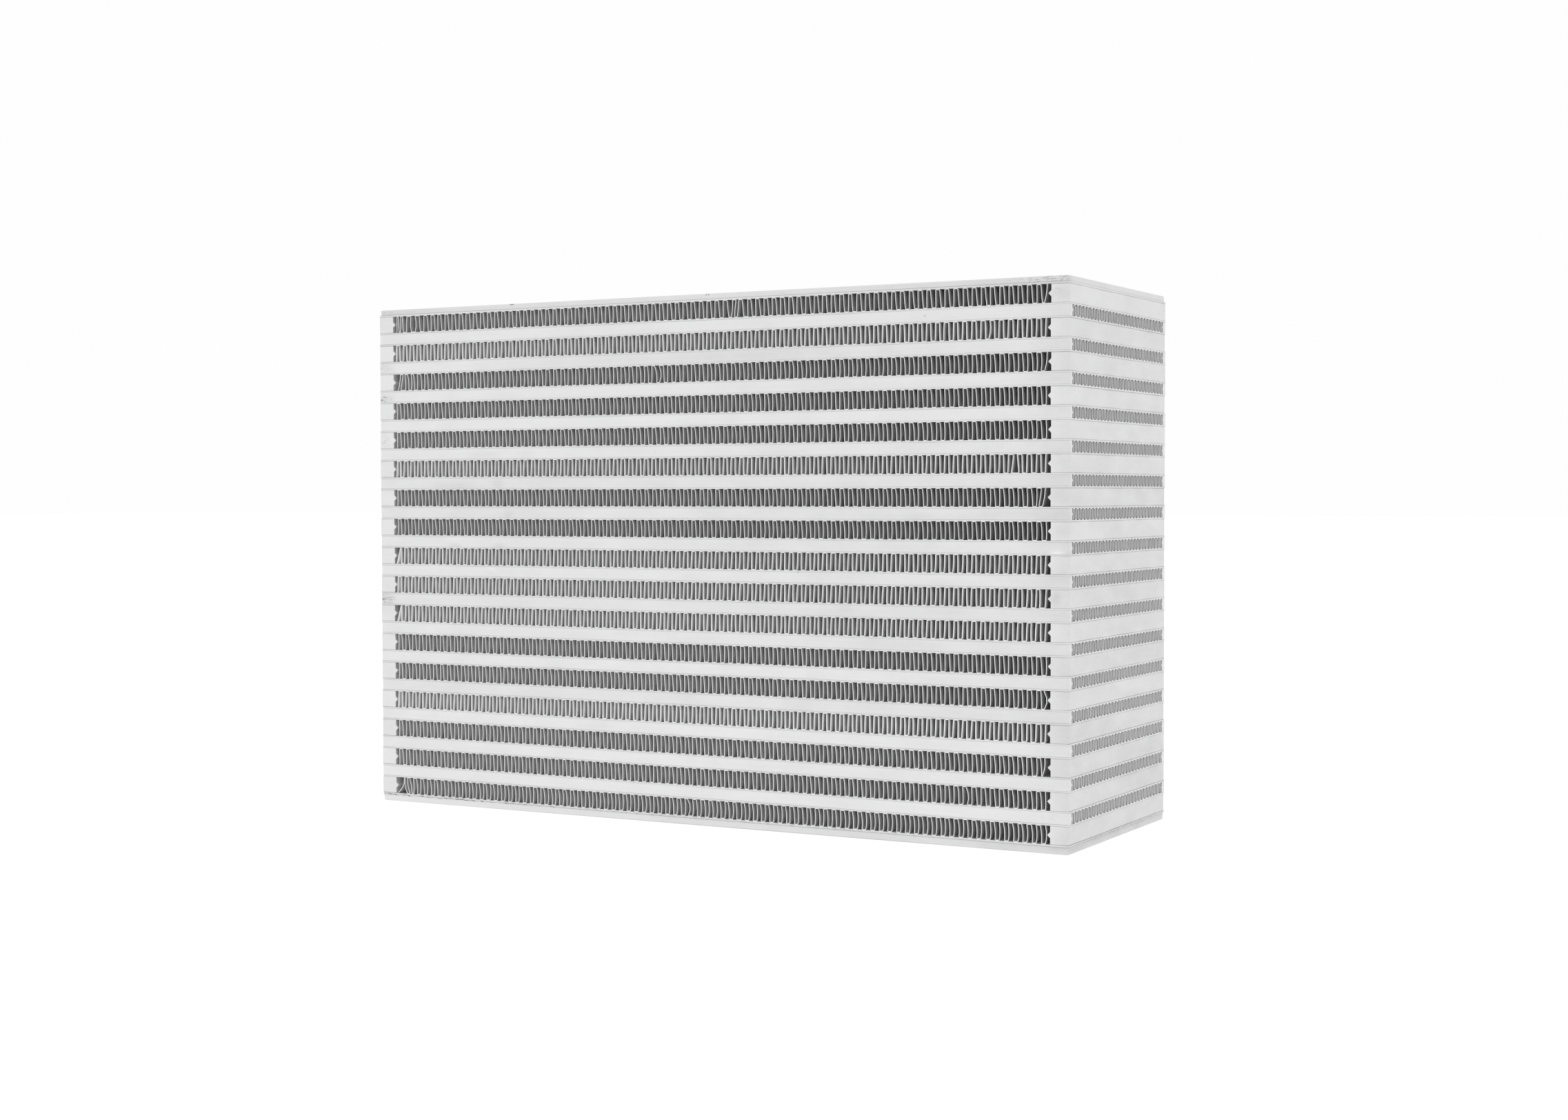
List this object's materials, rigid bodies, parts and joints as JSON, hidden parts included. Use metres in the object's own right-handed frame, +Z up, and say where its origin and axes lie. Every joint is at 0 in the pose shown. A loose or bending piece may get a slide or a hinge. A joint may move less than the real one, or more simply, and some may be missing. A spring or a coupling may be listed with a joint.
{
  "type": "hydraulic oil cooler core",
  "caption": "Brazed aluminium bar-and-plate cooler core: oil runs end to end in flat finned channels, air blows front to back through corrugated fins between them.",
  "frame": {"origin": "centre of the underside of the bottom side plate, on the surface the core stands on", "axes": "+Z up through the stack of layers, +X along the width, which the oil runs along, -Y out of the front face that the air enters"},
  "size_m": [0.41, 0.135, 0.2733],
  "materials": {
    "side_plate": "mill finish with faint roll lines, rough broken braze along its joint",
    "core_sheet": "clad brazing sheet, thin cut edges, light grey",
    "core_bar": "satin mill finish with fine draw lines and faint cloudy brazing marks",
    "air_fin": "thin folded strip under a dull braze film, brighter at its bare cut edges",
    "oil_fin": "thin folded strip, duller than the air fins, brighter at its bare cut edges"
  },
  "bodies": {
    "root": {"side_plate_bottom": "side_plate", "side_plate_top": "side_plate", "outer_sheet_bottom": "core_sheet", "outer_sheet_top": "core_sheet", "air_end_bar_left": "core_bar", "air_end_bar_right": "core_bar", "oil_channel_01": "core_bar", "oil_channel_02": "core_bar", "oil_channel_03": "core_bar", "oil_channel_04": "core_bar", "oil_channel_05": "core_bar", "oil_channel_06": "core_bar", "oil_channel_07": "core_bar", "oil_channel_08": "core_bar", "oil_channel_09": "core_bar", "oil_channel_10": "core_bar", "oil_channel_11": "core_bar", "oil_channel_12": "core_bar", "oil_channel_13": "core_bar", "oil_channel_14": "core_bar", "oil_channel_15": "core_bar", "oil_channel_16": "core_bar", "oil_fin_01": "oil_fin", "oil_fin_02": "oil_fin", "oil_fin_03": "oil_fin", "oil_fin_04": "oil_fin", "oil_fin_05": "oil_fin", "oil_fin_06": "oil_fin", "oil_fin_07": "oil_fin", "oil_fin_08": "oil_fin", "oil_fin_09": "oil_fin", "oil_fin_10": "oil_fin", "oil_fin_11": "oil_fin", "oil_fin_12": "oil_fin", "oil_fin_13": "oil_fin", "oil_fin_14": "oil_fin", "oil_fin_15": "oil_fin", "oil_fin_16": "oil_fin", "air_fin_01": "air_fin", "air_fin_02": "air_fin", "air_fin_03": "air_fin", "air_fin_04": "air_fin", "air_fin_05": "air_fin", "air_fin_06": "air_fin", "air_fin_07": "air_fin", "air_fin_08": "air_fin", "air_fin_09": "air_fin", "air_fin_10": "air_fin", "air_fin_11": "air_fin", "air_fin_12": "air_fin", "air_fin_13": "air_fin", "air_fin_14": "air_fin", "air_fin_15": "air_fin", "air_fin_16": "air_fin", "air_fin_17": "air_fin"}
  },
  "joints": []
}
